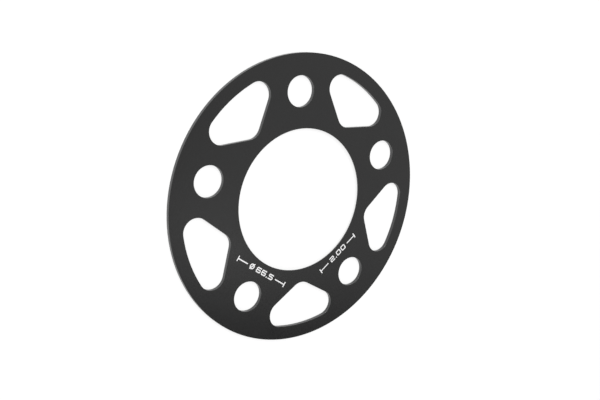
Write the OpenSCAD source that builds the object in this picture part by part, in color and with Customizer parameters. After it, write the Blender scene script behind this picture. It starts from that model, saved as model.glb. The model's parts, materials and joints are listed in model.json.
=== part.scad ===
// Flat wheel spacer plate: a bore that centres it on the hub, a ring of bolt holes,
// and a rounded-triangle window between each pair of holes. Millimetres.
// The plate lies on its hub face. +Z is the bore axis and points to the wheel,
// the origin is the bore centre on the hub face, and one bolt hole lies on +Y.

/* [Plate] */
// Outer diameter of the plate
outer_d = 134; // [126:0.5:160]
// Thickness between the hub face and the wheel face
thickness = 2; // [2:0.5:8]
// Edge break round every edge of the wheel face
face_break = 0.1; // [0.05:0.05:0.3]
// Edge break round the rim, the bolt holes and the windows on the hub face
hub_break = 0.25; // [0.05:0.05:0.5]

/* [Bore] */
// Diameter of the bore that centres the plate on the hub
bore_d = 66.5; // [54:0.1:72]
// Leg of the relief chamfer that clears the root fillet of the hub
bore_relief = 1.6; // [0.4:0.1:1.6]

/* [Bolt holes] */
// Number of bolt holes, and of the windows between them
bolt_count = 5; // [4:1:6]
// Diameter of the circle through the bolt hole centres
bolt_circle_d = 100; // [98:0.5:108]
// Diameter of a bolt hole
bolt_hole_d = 14.2; // [12:0.1:17]

/* [Windows] */
// Width of the rim left outside the windows
rim_w = 6.3; // [4:0.1:9]
// Width of the ring left between the bore and the windows
bore_ring_w = 6.55; // [5:0.05:9]
// Radius of the three corners of a window
corner_r = 6.25; // [4:0.05:7]
// Angle at the bore axis between the two outer corners of a window
window_spread = 24; // [16:0.5:30]

/* [Hidden] */
$fn = 128;
// How far a cut runs past each face
overrun = 1;
// Direction of the first bolt hole from the bore axis
first_hole_a = 90;
hole_pitch_a = 360 / bolt_count;

bore_r = bore_d / 2;
outer_r = outer_d / 2;

// A window is laid out along +X: its inner corner is on the axis, its outer corners
// lie on either side of it, and an arc that runs along the rim joins those two.
arc_r = outer_r - rim_w;
outer_corner_at = arc_r - corner_r;
inner_corner_at = bore_r + bore_ring_w + corner_r;
outer_corner = outer_corner_at * [cos(window_spread / 2), sin(window_spread / 2)];
inner_corner = [inner_corner_at, 0];

// The flanks and the arc lie this far inside the corners' common tangents, so that each
// of them meets a corner in one clean edge
seam = 0.001;

// The straight flank runs from corner to corner, a corner radius out from their centres
flank = outer_corner - inner_corner;
flank_l = norm(flank);
flank_normal_a = atan2(flank[1], flank[0]) + 90;
flank_reach = corner_r - seam;
flank_offset = flank_reach * [cos(flank_normal_a), sin(flank_normal_a)];
arc_reach = arc_r - seam;

// The same point on the other side of the window's axis
function across(p) = [p[0], -p[1]];

// Half section of a round hole, with the edge breaks of both faces carried on past the
// faces at the same slope
module hole_section(r)
    polygon([
        [0, -overrun],
        [r + hub_break + overrun, -overrun],
        [r, hub_break],
        [r, thickness - face_break],
        [r + face_break + overrun, thickness + overrun],
        [0, thickness + overrun],
    ]);

// The turned ring, before any hole is cut: rim, both faces, bore and its relief
module turned_blank()
    rotate_extrude()
        polygon([
            [bore_r + bore_relief, 0],
            [outer_r - hub_break, 0],
            [outer_r, hub_break],
            [outer_r, thickness - face_break],
            [outer_r - face_break, thickness],
            [bore_r + face_break, thickness],
            [bore_r, thickness - face_break],
            [bore_r, bore_relief],
        ]);

module bolt_hole_cut()
    translate([bolt_circle_d / 2, 0, 0])
        rotate_extrude()
            hole_section(bolt_hole_d / 2);

// One side of a window: its outer corner, and the band out to its straight flank
module window_side() {
    translate(outer_corner)
        circle(corner_r);
    polygon([inner_corner, inner_corner + flank_offset, outer_corner + flank_offset, outer_corner]);
}

module window_outline() {
    window_side();
    mirror([0, 1])
        window_side();
    translate(inner_corner)
        circle(corner_r);
    // The middle of the window, out to the arc along the rim
    intersection() {
        circle(arc_reach);
        polygon([
            inner_corner,
            outer_corner,
            2 * outer_corner,
            2 * across(outer_corner),
            across(outer_corner),
        ]);
    }
}

// Section that cuts a break of leg b into the edge at x = reach on a face at y = 0,
// from inside the opening at x = from, with its slope carried on past the edge
module break_section(b, reach, from = 0)
    polygon([
        [from, -overrun],
        [reach + b + overrun, -overrun],
        [reach - overrun, b + overrun],
        [from, b + overrun],
    ]);

module corner_break(b, centre)
    translate(centre)
        rotate_extrude()
            break_section(b, corner_r);

module window_side_break(b) {
    corner_break(b, outer_corner);
    translate(inner_corner)
        rotate(flank_normal_a)
            rotate([90, 0, 0])
                linear_extrude(flank_l)
                    break_section(b, flank_reach);
}

// Edge break all round a window, on a face at z = 0
module window_break(b) {
    window_side_break(b);
    mirror([0, 1, 0])
        window_side_break(b);
    corner_break(b, inner_corner);
    rotate(-window_spread / 2)
        rotate_extrude(angle = window_spread)
            break_section(b, arc_reach, outer_corner_at);
}

module window_cut() {
    translate([0, 0, -overrun])
        linear_extrude(thickness + 2 * overrun)
            window_outline();
    window_break(hub_break);
    translate([0, 0, thickness])
        mirror([0, 0, 1])
            window_break(face_break);
}

module spacer_plate()
    color("#38393a")
        difference() {
            turned_blank();
            for (i = [0:bolt_count - 1]) {
                rotate(first_hole_a + i * hole_pitch_a)
                    bolt_hole_cut();
                rotate(first_hole_a + (i + 0.5) * hole_pitch_a)
                    window_cut();
            }
        }

spacer_plate();
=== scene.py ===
"""Looks of a flat black wheel spacer plate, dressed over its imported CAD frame.

The plate is the CAD solid itself, with a black anodised finish that tells its blasted faces
from its machined edges. Two etched size marks lie on the wheel face. A pale floor, a bright
surround and two softboxes light it, and the camera keeps the photograph's view of the face.
All lengths are in metres, in the frame of the CAD part.
"""

from __future__ import annotations

import json
import logging
import math
from dataclasses import dataclass, field
from enum import Enum
from typing import Any

import bmesh
import bpy
from mathutils import Matrix, Vector

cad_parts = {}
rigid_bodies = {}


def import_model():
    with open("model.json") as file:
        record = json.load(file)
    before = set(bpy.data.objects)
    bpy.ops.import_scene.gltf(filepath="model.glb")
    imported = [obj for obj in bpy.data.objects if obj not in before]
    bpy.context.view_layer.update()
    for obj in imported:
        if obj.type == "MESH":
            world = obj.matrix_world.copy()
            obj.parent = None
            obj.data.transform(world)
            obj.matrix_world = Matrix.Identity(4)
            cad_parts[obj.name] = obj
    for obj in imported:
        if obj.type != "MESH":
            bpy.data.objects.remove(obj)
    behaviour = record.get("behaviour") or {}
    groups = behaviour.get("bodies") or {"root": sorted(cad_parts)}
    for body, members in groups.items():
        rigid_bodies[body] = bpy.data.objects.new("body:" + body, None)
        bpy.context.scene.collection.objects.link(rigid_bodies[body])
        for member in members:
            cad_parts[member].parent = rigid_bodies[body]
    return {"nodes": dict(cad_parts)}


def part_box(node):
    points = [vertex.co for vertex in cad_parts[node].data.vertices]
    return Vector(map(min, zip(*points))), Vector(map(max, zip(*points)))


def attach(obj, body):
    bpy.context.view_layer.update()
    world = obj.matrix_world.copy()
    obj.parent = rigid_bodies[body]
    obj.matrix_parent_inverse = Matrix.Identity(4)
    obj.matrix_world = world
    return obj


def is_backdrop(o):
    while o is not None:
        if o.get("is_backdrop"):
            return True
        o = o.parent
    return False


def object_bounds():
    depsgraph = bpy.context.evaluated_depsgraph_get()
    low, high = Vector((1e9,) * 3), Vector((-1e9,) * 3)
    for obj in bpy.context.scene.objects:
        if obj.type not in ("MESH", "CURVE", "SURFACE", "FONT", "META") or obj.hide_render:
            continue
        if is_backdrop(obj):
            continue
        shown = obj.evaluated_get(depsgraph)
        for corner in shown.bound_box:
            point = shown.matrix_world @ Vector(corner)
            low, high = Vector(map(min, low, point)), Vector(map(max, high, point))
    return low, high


LOG = logging.getLogger("wheel_spacer")

MM = 0.001
BODY = "root"
PLATE_NODE = "spacer_plate"

# Numbers of the Mix node's colour sockets, whose names its other data types use too
MIX_FIRST_COLOUR = 6
MIX_SECOND_COLOUR = 7
MIX_COLOUR_RESULT = 2

NOISE_MIDDLE = 0.5

# Index of refraction and specular level that a shader starts with. Another index is given as a
# level, because the exported model keeps that.
PLAIN_IOR = 1.5
PLAIN_LEVEL = 0.5

# Height of the bar across the middle of a 2, and of that of a 5 or a 6, in a unit box
MIDDLE = 0.5
WAIST = 0.54

Triple = tuple[float, float, float]
Colour = Triple
Number = int | float


class Op(Enum):
    """The Math node operations that shader expressions use."""

    ADD = "ADD"
    SUBTRACT = "SUBTRACT"
    MULTIPLY = "MULTIPLY"
    ABSOLUTE = "ABSOLUTE"
    MAXIMUM = "MAXIMUM"


class Sign(Enum):
    """The sign that goes before the number of a size mark."""

    DIAMETER = "diameter"
    NONE = "none"


def direction(azimuth_deg: float, elevation_deg: float) -> Vector:
    """The unit vector towards a place seen from the plate.

    Args:
        azimuth_deg: turn from +X towards +Y.
        elevation_deg: height over the floor.

    Returns:
        The unit vector.
    """
    azimuth, elevation = math.radians(azimuth_deg), math.radians(elevation_deg)
    flat = math.cos(elevation)
    return Vector((flat * math.cos(azimuth), flat * math.sin(azimuth), math.sin(elevation)))


def polar(radius: float, angle_deg: float) -> Vector:
    """The point at a radius and an angle in the XY plane."""
    angle = math.radians(angle_deg)
    return Vector((radius * math.cos(angle), radius * math.sin(angle), 0.0))


def mirrored(ior: float) -> float:
    """The share of light that a surface of an index of refraction mirrors straight back."""
    return ((ior - 1.0) / (ior + 1.0)) ** 2


class Value:
    """A shader socket that takes part in Python arithmetic by adding Math nodes."""

    def __init__(self, bench: Bench, socket: bpy.types.NodeSocket | None) -> None:
        """Wraps an output socket of the bench's node tree, or none for a node that ends it."""
        self.bench = bench
        self.socket = socket

    def _math(self, op: Op, *operands: Value | Number) -> Value:
        """Adds one Math node.

        Args:
            op: the node's operation.
            operands: its inputs in order, sockets or plain numbers.

        Returns:
            The node's result.
        """
        return self.bench.node("ShaderNodeMath", {"operation": op.value}, dict(enumerate(operands)))

    def __add__(self, other: Value | Number) -> Value:
        """The sum of both."""
        return self._math(Op.ADD, self, other)

    def __radd__(self, other: Number) -> Value:
        """The sum, with the number first."""
        return self._math(Op.ADD, other, self)

    def __sub__(self, other: Value | Number) -> Value:
        """The difference of both."""
        return self._math(Op.SUBTRACT, self, other)

    def __rsub__(self, other: Number) -> Value:
        """The difference, with the number first."""
        return self._math(Op.SUBTRACT, other, self)

    def __mul__(self, other: Value | Number) -> Value:
        """The product of both."""
        return self._math(Op.MULTIPLY, self, other)

    def __rmul__(self, other: Number) -> Value:
        """The product, with the number first."""
        return self._math(Op.MULTIPLY, other, self)

    def __abs__(self) -> Value:
        """The size without the sign."""
        return self._math(Op.ABSOLUTE, self)

    def at_least(self, other: Value | Number) -> Value:
        """The larger of both."""
        return self._math(Op.MAXIMUM, self, other)


@dataclass(frozen=True)
class Grain:
    """A noise pattern: its cells per metre along X, Y and Z, and its finer layers."""

    per_metre: Triple
    layers: float = 2.0


class Bench:
    """A node tree under construction."""

    def __init__(self, tree: bpy.types.NodeTree) -> None:
        """Starts the tree empty."""
        self.tree = tree
        tree.nodes.clear()

    def node(
        self,
        kind: str,
        settings: dict[str, Any] | None = None,
        sockets: dict[str | int, Any] | None = None,
        output: str | int = 0,
    ) -> Value:
        """Adds a node, sets it up and links it.

        Args:
            kind: Blender's name of the node type.
            settings: properties of the node, set before its sockets.
            sockets: input name or number to a Value to link, or a constant to set.
            output: the output that the result stands for.

        Returns:
            The chosen output, ready for arithmetic.
        """
        made = self.tree.nodes.new(kind)
        for name, setting in (settings or {}).items():
            setattr(made, name, setting)
        for name, given in (sockets or {}).items():
            target = made.inputs[name]
            if isinstance(given, Value):
                self.tree.links.new(given.socket, target)
            else:
                target.default_value = given
        return Value(self, made.outputs[output] if made.outputs else None)

    def blend(self, share: Value, low: Value | Colour, high: Value | Colour) -> Value:
        """Mixes two colours.

        Args:
            share: 0 gives low, and 1 gives high.
            low: the first colour.
            high: the second colour.

        Returns:
            The mixed colour.
        """
        first, second = (c if isinstance(c, Value) else (*c, 1.0) for c in (low, high))
        return self.node(
            "ShaderNodeMix",
            {"data_type": "RGBA"},
            {"Factor": share, MIX_FIRST_COLOUR: first, MIX_SECOND_COLOUR: second},
            output=MIX_COLOUR_RESULT,
        )

    def scale(self, colour: Value | Colour, factor: Value) -> Value:
        """A colour made brighter or darker by a factor."""
        return self.node("ShaderNodeVectorMath", {"operation": "SCALE"}, {0: colour, "Scale": factor})

    def along(self, vector: Value, axis: Vector) -> Value:
        """How far a vector reaches along an axis of unit length."""
        ends = {0: vector, 1: axis}
        return self.node("ShaderNodeVectorMath", {"operation": "DOT_PRODUCT"}, ends, output="Value")

    def ramp(
        self, value: Value, start: float, end: float, low: float = 0.0, high: float = 1.0
    ) -> Value:
        """Maps a value smoothly from one range to another.

        Args:
            value: what to map.
            start: the value that gives low. It may be larger than end.
            end: the value that gives high.
            low: result at start and before it.
            high: result at end and past it.

        Returns:
            The mapped value.
        """
        return self.node(
            "ShaderNodeMapRange",
            {"interpolation_type": "SMOOTHSTEP"},
            {"Value": value, "From Min": start, "From Max": end, "To Min": low, "To Max": high},
        )

    def noise(self, where: Value, grain: Grain) -> Value:
        """Adds a noise pattern.

        Args:
            where: the coordinates, in metres.
            grain: the pattern's cells and layers.

        Returns:
            The noise, from about 0 to 1, with NOISE_MIDDLE as its mean.
        """
        cells = self.node(
            "ShaderNodeVectorMath", {"operation": "MULTIPLY"}, {0: where, 1: grain.per_metre}
        )
        return self.node(
            "ShaderNodeTexNoise",
            {"noise_dimensions": "3D"},
            {"Vector": cells, "Scale": 1.0, "Detail": grain.layers},
        )

    def bump(self, relief: Value) -> Value:
        """The normal of a surface with a relief, whose height is in metres."""
        return self.node(
            "ShaderNodeBump", sockets={"Strength": 1.0, "Distance": 1.0, "Height": relief}
        )


def new_material(name: str) -> tuple[bpy.types.Material, Bench]:
    """Makes a node material.

    Args:
        name: the material's name.

    Returns:
        The material and the bench of its empty tree.
    """
    material = bpy.data.materials.new(name)
    material.use_nodes = True
    return material, Bench(material.node_tree)


@dataclass(frozen=True)
class AnodisedFinish:
    """Black anodised aluminium: blasted faces, and edges left as they were machined."""

    face_colour: Colour = (0.0132, 0.0132, 0.0132)
    edge_colour: Colour = (0.02, 0.02, 0.02)
    face_roughness: float = 0.22
    edge_roughness: float = 0.30
    oxide_ior: float = 1.72
    # Share by which the dye varies in clouds and from pit to pit, and how far the roughness does
    dye_clouds: float = 0.16
    dye_grain: float = 0.6
    roughness_variation: float = 0.07
    # Clouds in the dye, blasted pits, and the lines of rolling and of turning
    clouds: Grain = Grain((70.0, 70.0, 70.0), layers=4.0)
    pits: Grain = Grain((7000.0, 7000.0, 7000.0), layers=3.0)
    rolling: Grain = Grain((45.0, 5200.0, 45.0), layers=3.0)
    turning: Grain = Grain((160.0, 160.0, 9000.0))
    pit_depth: float = 0.004 * MM
    line_depth: float = 0.004 * MM
    # How far the normal leans on Z where the edge finish starts to fade, and where it has gone
    edge_to_face: tuple[float, float] = (0.78, 0.97)

    def build(self) -> bpy.types.Material:
        """Makes the material.

        Returns:
            The finished material.
        """
        material, bench = new_material("black_anodised")
        where = bench.node("ShaderNodeTexCoord", output="Object")
        normal = bench.node("ShaderNodeTexCoord", output="Normal")
        lean = bench.node("ShaderNodeSeparateXYZ", sockets={0: normal}, output="Z")
        face = bench.ramp(abs(lean), *self.edge_to_face)
        edge = 1.0 - face

        clouds = bench.noise(where, self.clouds) - NOISE_MIDDLE
        pits = bench.noise(where, self.pits)
        lines = face * bench.noise(where, self.rolling) + edge * bench.noise(where, self.turning)

        tone = bench.blend(face, self.edge_colour, self.face_colour)
        shade = 1.0 + clouds * self.dye_clouds + (pits - NOISE_MIDDLE) * self.dye_grain
        evenly_rough = edge * self.edge_roughness + face * self.face_roughness
        unevenness = (clouds + lines - NOISE_MIDDLE) * self.roughness_variation
        relief = pits * self.pit_depth * face + lines * self.line_depth
        shader = bench.node(
            "ShaderNodeBsdfPrincipled",
            sockets={
                "Base Color": bench.scale(tone, shade),
                "Roughness": evenly_rough + unevenness,
                "IOR": PLAIN_IOR,
                "Specular IOR Level": PLAIN_LEVEL * mirrored(self.oxide_ior) / mirrored(PLAIN_IOR),
                "Normal": bench.bump(relief),
            },
        )
        bench.node("ShaderNodeOutputMaterial", sockets={"Surface": shader})
        return material


@dataclass(frozen=True)
class EtchedFinish:
    """The pale, dry surface where a laser has taken the dye out of the anodised layer."""

    # Colour in the hollows and on the crests of the beam's hatch lines
    low: Colour = (0.89, 0.89, 0.89)
    high: Colour = (0.97, 0.97, 0.97)
    roughness: float = 0.62
    hatch: Grain = Grain((1500.0, 14000.0, 1500.0))
    hatch_depth: float = 0.004 * MM

    def build(self) -> bpy.types.Material:
        """Makes the material.

        Returns:
            The finished material.
        """
        material, bench = new_material("etched_mark")
        where = bench.node("ShaderNodeTexCoord", output="Object")
        hatch = bench.noise(where, self.hatch)
        shader = bench.node(
            "ShaderNodeBsdfPrincipled",
            sockets={
                "Base Color": bench.blend(hatch, self.low, self.high),
                "Roughness": self.roughness,
                "Normal": bench.bump(hatch * self.hatch_depth),
            },
        )
        bench.node("ShaderNodeOutputMaterial", sockets={"Surface": shader})
        return material


@dataclass(frozen=True)
class FloorFinish:
    """A matt pale floor that shows white to the camera and keeps the plate's shadow."""

    # The share of light that it gives back, and the light that it adds where it is seen
    colour: Colour = (0.25, 0.25, 0.25)
    glow: float = 0.80

    def build(self) -> bpy.types.Material:
        """Makes the material.

        Returns:
            The finished material.
        """
        material, bench = new_material("studio_floor")
        camera, glossy, through = (
            bench.node("ShaderNodeLightPath", output=f"Is {kind} Ray")
            for kind in ("Camera", "Glossy", "Transmission")
        )
        seen = camera.at_least(glossy).at_least(through)
        matt = bench.node("ShaderNodeBsdfDiffuse", sockets={"Color": (*self.colour, 1.0)})
        light = bench.node("ShaderNodeEmission", sockets={"Strength": self.glow})
        both = bench.node("ShaderNodeAddShader", sockets={0: matt, 1: light})
        shown = bench.node("ShaderNodeMixShader", sockets={0: seen, 1: matt, 2: both})
        bench.node("ShaderNodeOutputMaterial", sockets={"Surface": shown})
        return material


@dataclass
class SpacerPlate:
    """The plate: the CAD solid, dressed."""

    solid: bpy.types.Object
    finish: AnodisedFinish = field(default_factory=AnodisedFinish)

    def dress(self) -> None:
        """Gives the solid its finish, on the object and not on its mesh."""
        material = self.finish.build()
        for place in self.solid.material_slots:
            place.link = "OBJECT"
            place.material = material
        LOG.info("%s: %d faces, anodised", self.solid.name, len(self.solid.data.polygons))

    @property
    def wheel_face_z(self) -> float:
        """Height of the wheel face."""
        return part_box(self.solid.name)[1].z


@dataclass(frozen=True)
class Stroke:
    """One pen stroke of a character: the corners of its centre line, in a unit box."""

    corners: tuple[tuple[float, float], ...]
    closed: bool = False
    # Whether its last end stops against the side of an earlier part of the stroke
    butts: bool = False


NUMERALS: dict[str, Stroke] = {
    "0": Stroke(((0, 0), (1, 0), (1, 1), (0, 1)), closed=True),
    "2": Stroke(((0, 1), (1, 1), (1, MIDDLE), (0, MIDDLE), (0, 0), (1, 0))),
    "5": Stroke(((1, 1), (0, 1), (0, WAIST), (1, WAIST), (1, 0), (0, 0))),
    "6": Stroke(((1, 1), (0, 1), (0, 0), (1, 0), (1, WAIST), (0, WAIST)), butts=True),
    ".": Stroke(((0, 0), (1, 0))),
}


@dataclass
class Pen:
    """Draws flat strokes of one width and depth into a mesh."""

    width: float
    depth: float
    # A corner has a full mitre where the cosine of half its turn is no less than this
    mitre_cosine: float = 0.5
    form: bmesh.types.BMesh = field(default_factory=bmesh.new)

    def ribbon(self, line: list[Vector], closed: bool = False) -> None:
        """Draws a stroke along a centre line, with square ends.

        Args:
            line: points of the centre line, in the plane of the mark.
            closed: whether the last point joins the first.
        """
        count = len(line)
        half = self.width / 2
        lift = Vector((0.0, 0.0, self.depth / 2))
        sections = []
        for i, at in enumerate(line):
            before = line[i - 1] if i or closed else None
            after = line[(i + 1) % count] if i < count - 1 or closed else None
            arriving = (at - before).normalized() if before else (after - at).normalized()
            leaving = (after - at).normalized() if after else arriving
            run = (arriving + leaving).normalized()
            reach = half / max(run.dot(leaving), self.mitre_cosine)
            side = Vector((-run.y, run.x, 0.0)) * reach
            corners = (at + side + lift, at + side - lift, at - side - lift, at - side + lift)
            sections.append([self.form.verts.new(corner) for corner in corners])
        pairs = list(zip(sections, sections[1:] + sections[:1]))
        for one, other in pairs if closed else pairs[:-1]:
            for k in range(len(one)):
                self.form.faces.new((one[k], one[k - 1], other[k - 1], other[k]))
        if not closed:
            self.form.faces.new(sections[0])
            self.form.faces.new(sections[-1][::-1])

    def prism(self, outline: list[Vector]) -> None:
        """Draws a filled shape.

        Args:
            outline: its corners, anticlockwise.
        """
        lift = Vector((0.0, 0.0, self.depth / 2))
        top = [self.form.verts.new(corner + lift) for corner in outline]
        under = [self.form.verts.new(corner - lift) for corner in outline]
        self.form.faces.new(top)
        self.form.faces.new(under[::-1])
        for k in range(len(top)):
            self.form.faces.new((top[k], top[k - 1], under[k - 1], under[k]))


@dataclass
class SizeMark:
    """A plain number etched on the wheel face, between the two ends of a dimension line."""

    name: str
    number: str
    sign: Sign
    # Where the mark's middle lies, from the bore axis, and the whole length of its line
    angle_deg: float
    radius: float
    length: float
    # Height of the wheel face
    face_z: float
    digit_h: float = 2.65 * MM
    digit_w: float = 2.75 * MM
    point_w: float = 0.62 * MM
    corner_r: float = 0.42 * MM
    corner_steps: int = 5
    stroke: float = 0.54 * MM
    spacing: float = 0.6 * MM
    word_gap: float = 1.5 * MM
    # The diameter sign: facets of its ring, and the slash's tilt and reach past the ring
    ring_steps: int = 32
    slash_deg: float = 58.0
    slash_reach: float = 0.45 * MM
    depth: float = 0.02 * MM
    # How much of its depth stands over the face
    proud: float = 0.012 * MM

    def build(self, material: bpy.types.Material) -> bpy.types.Object:
        """Makes the mark where it lies on the plate, and lets it ride there.

        Args:
            material: the etched finish.

        Returns:
            The mark's object.
        """
        pen = Pen(self.stroke, self.depth)
        widths = [self._width(digit) for digit in self.number]
        sign_w = self.digit_h + self.word_gap if self.sign is Sign.DIAMETER else 0.0
        word = sign_w + sum(widths) + self.spacing * (len(widths) - 1)
        x = -word / 2
        if self.sign is Sign.DIAMETER:
            self._diameter_sign(pen, x + self.digit_h / 2)
            x += sign_w
        for digit, width in zip(self.number, widths):
            self._digit(pen, NUMERALS[digit], x, width)
            x += width + self.spacing
        for side in (-1.0, 1.0):
            self._line_end(pen, side, word / 2 + self.word_gap)
        pen.form.transform(self._place())
        mesh = bpy.data.meshes.new(self.name)
        pen.form.to_mesh(mesh)
        pen.form.free()
        mesh.materials.append(material)
        mark = bpy.data.objects.new(self.name, mesh)
        bpy.context.scene.collection.objects.link(mark)
        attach(mark, BODY)
        LOG.info("%s: %s, %d faces", self.name, self.number, len(mesh.polygons))
        return mark

    def _width(self, digit: str) -> float:
        """The width of a digit or of the point."""
        return self.point_w if digit == "." else self.digit_w

    def _digit(self, pen: Pen, stroke: Stroke, left: float, width: float) -> None:
        """Draws one digit.

        Args:
            pen: what draws.
            stroke: the digit's stroke.
            left: where the digit starts along the mark.
            width: its width.
        """
        inset = self.stroke / 2
        corners = [
            Vector((
                left + inset + u * (width - self.stroke),
                inset - self.digit_h / 2 + v * (self.digit_h - self.stroke),
                0.0,
            ))
            for u, v in stroke.corners
        ]
        if not stroke.closed:
            end_shift = -inset if stroke.butts else inset
            corners[0] += (corners[0] - corners[1]).normalized() * inset
            corners[-1] += (corners[-1] - corners[-2]).normalized() * end_shift
        pen.ribbon(self._rounded(corners, stroke.closed), stroke.closed)

    def _rounded(self, corners: list[Vector], closed: bool) -> list[Vector]:
        """Rounds the corners of a centre line.

        Args:
            corners: its square corners.
            closed: whether it is a loop.

        Returns:
            The points of the rounded line.
        """
        count = len(corners)
        line: list[Vector] = []
        for i, corner in enumerate(corners):
            if not closed and i in (0, count - 1):
                line.append(corner)
                continue
            back = (corners[i - 1] - corner).normalized() * self.corner_r
            on = (corners[(i + 1) % count] - corner).normalized() * self.corner_r
            for k in range(self.corner_steps + 1):
                turn = math.pi / 2 * k / self.corner_steps
                line.append(corner + back * (1.0 - math.sin(turn)) + on * (1.0 - math.cos(turn)))
        return line

    def _diameter_sign(self, pen: Pen, middle: float) -> None:
        """Draws a ring with a slash through it.

        Args:
            pen: what draws.
            middle: where the ring's middle lies along the mark.
        """
        centre = Vector((middle, 0.0, 0.0))
        half = self.stroke / 2
        outer = self.digit_h / 2
        inner = outer - self.stroke
        tip_r = outer + self.slash_reach
        ring = [
            centre + polar(outer - half, 360.0 * k / self.ring_steps)
            for k in range(self.ring_steps)
        ]
        pen.ribbon(ring, closed=True)

        # The slash is drawn in three pieces, one inside the ring and one at each end outside it
        inside, outside, tip = (math.degrees(math.asin(half / r)) for r in (inner, outer, tip_r))
        ends = (self.slash_deg, self.slash_deg + 180.0)
        angles = [end + turn for end in ends for turn in (-inside, 0.0, inside)]
        pen.prism([centre + polar(inner, angle) for angle in angles])
        for end in ends:
            foot = [centre + polar(outer, end + turn) for turn in (outside, 0.0, -outside)]
            head = [centre + polar(tip_r, end + turn) for turn in (-tip, tip)]
            pen.prism(foot + head)

    def _line_end(self, pen: Pen, side: float, start: float) -> None:
        """Draws one end of the dimension line: a dash, and the bar across its end.

        Args:
            pen: what draws.
            side: 1 for the right end, -1 for the left.
            start: where the dash starts, from the middle of the mark.
        """
        bar = side * (self.length - self.stroke) / 2
        dash_end = side * (self.length / 2 - self.stroke)
        pen.ribbon([Vector((side * start, 0.0, 0.0)), Vector((dash_end, 0.0, 0.0))])
        pen.ribbon([Vector((bar, -self.digit_h / 2, 0.0)), Vector((bar, self.digit_h / 2, 0.0))])

    def _place(self) -> Matrix:
        """The mark's place on the face: across its radius, with its top towards the bore."""
        height = Vector((0.0, 0.0, self.face_z + self.proud - self.depth / 2))
        at = Matrix.Translation(polar(self.radius, self.angle_deg) + height)
        return at @ Matrix.Rotation(math.radians(self.angle_deg + 90.0), 4, "Z")


@dataclass(frozen=True)
class Softbox:
    """A soft square area lamp, aimed at the middle of the plate."""

    name: str
    azimuth_deg: float
    elevation_deg: float
    distance: float
    side: float
    # How bright a white matt floor would show under it alone
    level: float

    def place(self) -> bpy.types.Object:
        """Makes the lamp.

        Returns:
            The lamp's object.
        """
        back = direction(self.azimuth_deg, self.elevation_deg)
        data = bpy.data.lights.new(self.name, "AREA")
        data.shape = "SQUARE"
        data.size = self.side
        # A white matt floor shows watts * back.z / (pi * distance) ** 2 of such a lamp
        data.energy = self.level * (math.pi * self.distance) ** 2 / back.z
        lamp = bpy.data.objects.new(self.name, data)
        lamp.location = back * self.distance
        lamp.visible_camera = False
        lamp.rotation_mode = "QUATERNION"
        lamp.rotation_quaternion = back.to_track_quat("Z", "Y")
        bpy.context.scene.collection.objects.link(lamp)
        return lamp


@dataclass(frozen=True)
class Studio:
    """The plain set: a floor, a bright surround under a dimmer ceiling, and softboxes."""

    floor_half: float = 12.0
    horizon: Colour = (1.0, 1.0, 1.0)
    ceiling: Colour = (0.385, 0.385, 0.385)
    # Sine of the elevation where the surround starts to dim, and where the ceiling is reached
    dim_from_to: tuple[float, float] = (0.2, 0.55)
    # A dark gap runs across the ceiling: the side it lies on, and how far out on that side each
    # of its edges is still light and already dark
    gap_azimuth_deg: float = 259.1
    gap_start: tuple[float, float] = (0.252, 0.282)
    gap_end: tuple[float, float] = (0.58, 0.45)
    # Sine of the elevation where the ceiling starts to darken and where it has, and its share then
    zenith_from_to: tuple[float, float] = (0.876, 0.906)
    zenith_share: float = 0.357
    # A small bright panel in the ceiling: its place, its radius, and its gain in the middle
    panel_azimuth_deg: float = -37.6
    panel_elevation_deg: float = 55.5
    panel_radius_deg: float = 6.2
    panel_gain: float = 2.8
    boxes: tuple[Softbox, ...] = (
        Softbox(
            "key_softbox", azimuth_deg=100.0, elevation_deg=58.0, distance=1.1, side=0.7, level=0.51
        ),
        Softbox(
            "fill_softbox", azimuth_deg=215.0, elevation_deg=50.0, distance=1.2, side=0.6, level=0.18
        ),
    )

    def build(self, floor_z: float) -> None:
        """Makes the set.

        Args:
            floor_z: height of the floor.
        """
        self._floor(floor_z)
        self._surround()
        for box in self.boxes:
            box.place()

    def _floor(self, floor_z: float) -> None:
        """Makes the floor at a height."""
        signs = ((-1.0, -1.0), (1.0, -1.0), (1.0, 1.0), (-1.0, 1.0))
        corners = [(x * self.floor_half, y * self.floor_half, floor_z) for x, y in signs]
        mesh = bpy.data.meshes.new("studio_floor")
        mesh.from_pydata(corners, [], [(0, 1, 2, 3)])
        mesh.materials.append(FloorFinish().build())
        floor = bpy.data.objects.new("studio_floor", mesh)
        bpy.context.scene.collection.objects.link(floor)
        floor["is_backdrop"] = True

    def _surround(self) -> None:
        """Makes the world: white round the horizon, and the ceiling with its gap and panel."""
        world = bpy.data.worlds.new("studio")
        world.use_nodes = True
        bench = Bench(world.node_tree)
        way = bench.node("ShaderNodeTexCoord", output="Generated")
        rise = bench.node("ShaderNodeSeparateXYZ", sockets={0: way}, output="Z")
        aside = bench.along(way, direction(self.gap_azimuth_deg, 0.0))
        to_panel = bench.along(way, direction(self.panel_azimuth_deg, self.panel_elevation_deg))
        panel_rim = math.cos(math.radians(self.panel_radius_deg))

        gap = bench.ramp(aside, *self.gap_start) * bench.ramp(aside, *self.gap_end)
        zenith = bench.ramp(rise, *self.zenith_from_to, low=1.0, high=self.zenith_share)
        panel = bench.ramp(to_panel, panel_rim, 1.0, low=1.0, high=self.panel_gain)
        ceiling = bench.scale(self.ceiling, (1.0 - gap) * zenith * panel)
        sky = bench.blend(bench.ramp(rise, *self.dim_from_to), self.horizon, ceiling)
        light = bench.node("ShaderNodeBackground", sockets={"Color": sky})
        bench.node("ShaderNodeOutputWorld", sockets={"Surface": light})
        bpy.context.scene.world = world


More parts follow.
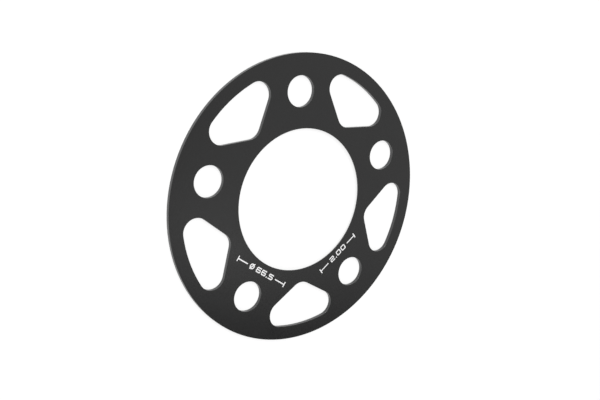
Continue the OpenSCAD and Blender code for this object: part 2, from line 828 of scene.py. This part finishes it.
@dataclass(frozen=True)
class FaceCamera:
    """The photograph's view of the wheel face."""

    azimuth_deg: float = 155.0
    elevation_deg: float = 52.3
    # Turn of the picture about the line of sight, from a level camera, clockwise
    roll_deg: float = -110.24
    aim: Triple = (-0.63 * MM, 0.30 * MM, 2.0 * MM)
    distance: float = 380.36 * MM
    lens_mm: float = 49.85
    sensor_mm: float = 36.0
    # Nearest and farthest things that show, in distances of the camera
    nearest: float = 0.01
    farthest: float = 1000.0

    def place(self) -> bpy.types.Object:
        """Makes the camera and hands it to the scene.

        Returns:
            The camera's object.
        """
        back = direction(self.azimuth_deg, self.elevation_deg)
        level_up = (Vector((0.0, 0.0, 1.0)) - back * back.z).normalized()
        level_right = level_up.cross(back)
        roll = math.radians(self.roll_deg)
        up = level_up * math.cos(roll) + level_right * math.sin(roll)
        turn = Matrix((up.cross(back), up, back)).transposed().to_4x4()
        data = bpy.data.cameras.new("face_camera")
        data.lens = self.lens_mm
        data.sensor_width = self.sensor_mm
        data.clip_start = self.distance * self.nearest
        data.clip_end = self.distance * self.farthest
        camera = bpy.data.objects.new("face_camera", data)
        camera.matrix_world = Matrix.Translation(Vector(self.aim) + back * self.distance) @ turn
        bpy.context.scene.collection.objects.link(camera)
        bpy.context.scene.camera = camera
        return camera


def clear_scene() -> None:
    """Empties the start-up scene."""
    for thing in list(bpy.data.objects):
        bpy.data.objects.remove(thing)


def main() -> None:
    """Builds the scene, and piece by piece."""
    logging.basicConfig(level=logging.INFO, format="%(name)s: %(message)s")
    clear_scene()
    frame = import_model()
    cad_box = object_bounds()
    bpy.context.scene.view_settings.view_transform = "Standard"

    plate = SpacerPlate(frame["nodes"][PLATE_NODE])
    plate.dress()
    etched = EtchedFinish().build()
    marks = (
        SizeMark(
            "bore_size_mark",
            number="66.5",
            sign=Sign.DIAMETER,
            angle_deg=234.0,
            radius=37.2 * MM,
            length=30.5 * MM,
            face_z=plate.wheel_face_z,
        ),
        SizeMark(
            "thickness_mark",
            number="2.00",
            sign=Sign.NONE,
            angle_deg=306.0,
            radius=36.6 * MM,
            length=25.0 * MM,
            face_z=plate.wheel_face_z,
        ),
    )
    for mark in marks:
        mark.build(etched)

    Studio().build(floor_z=cad_box[0].z)
    FaceCamera().place()


if __name__ == "__main__":
    main()
